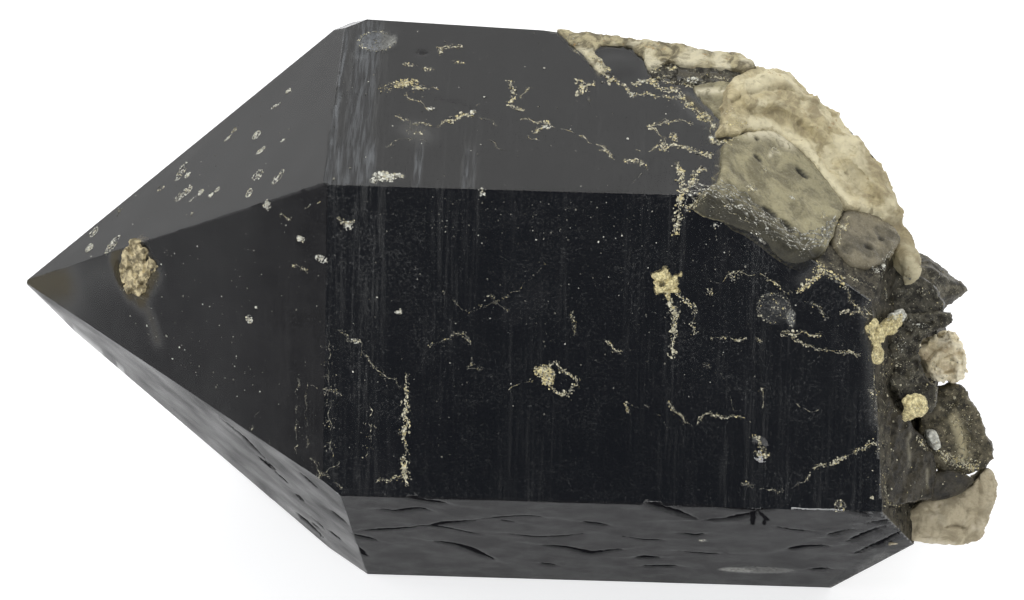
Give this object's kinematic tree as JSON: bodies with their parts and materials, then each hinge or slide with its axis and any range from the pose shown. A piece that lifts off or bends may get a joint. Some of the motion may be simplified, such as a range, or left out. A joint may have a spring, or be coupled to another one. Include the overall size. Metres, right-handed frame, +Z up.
{
  "type": "smoky quartz crystal",
  "caption": "Dark six-sided quartz point lying on a prism face, with feldspar and paler quartz grown onto its broken base.",
  "frame": {"origin": "on the resting prism face, straight below the long axis of the crystal", "axes": "+X along the crystal from its point to its broken base, +Z up, -Y the side with the widest prism face"},
  "size_m": [0.111, 0.064, 0.0623],
  "materials": {
    "smoky_quartz": "glassy natural crystal faces, near black where thick and olive brown where thin",
    "feldspar": "rough cream mineral",
    "golden_crust": "crumbly golden iron stain"
  },
  "bodies": {
    "root": {"smoky_quartz": "smoky_quartz", "shoulder_feldspar": "feldspar", "ridge_feldspar": "feldspar", "base_feldspar_lump": "feldspar", "base_feldspar_block": "feldspar", "tip_crust": "golden_crust", "front_crust": "golden_crust", "base_crust": "golden_crust"}
  },
  "joints": []
}
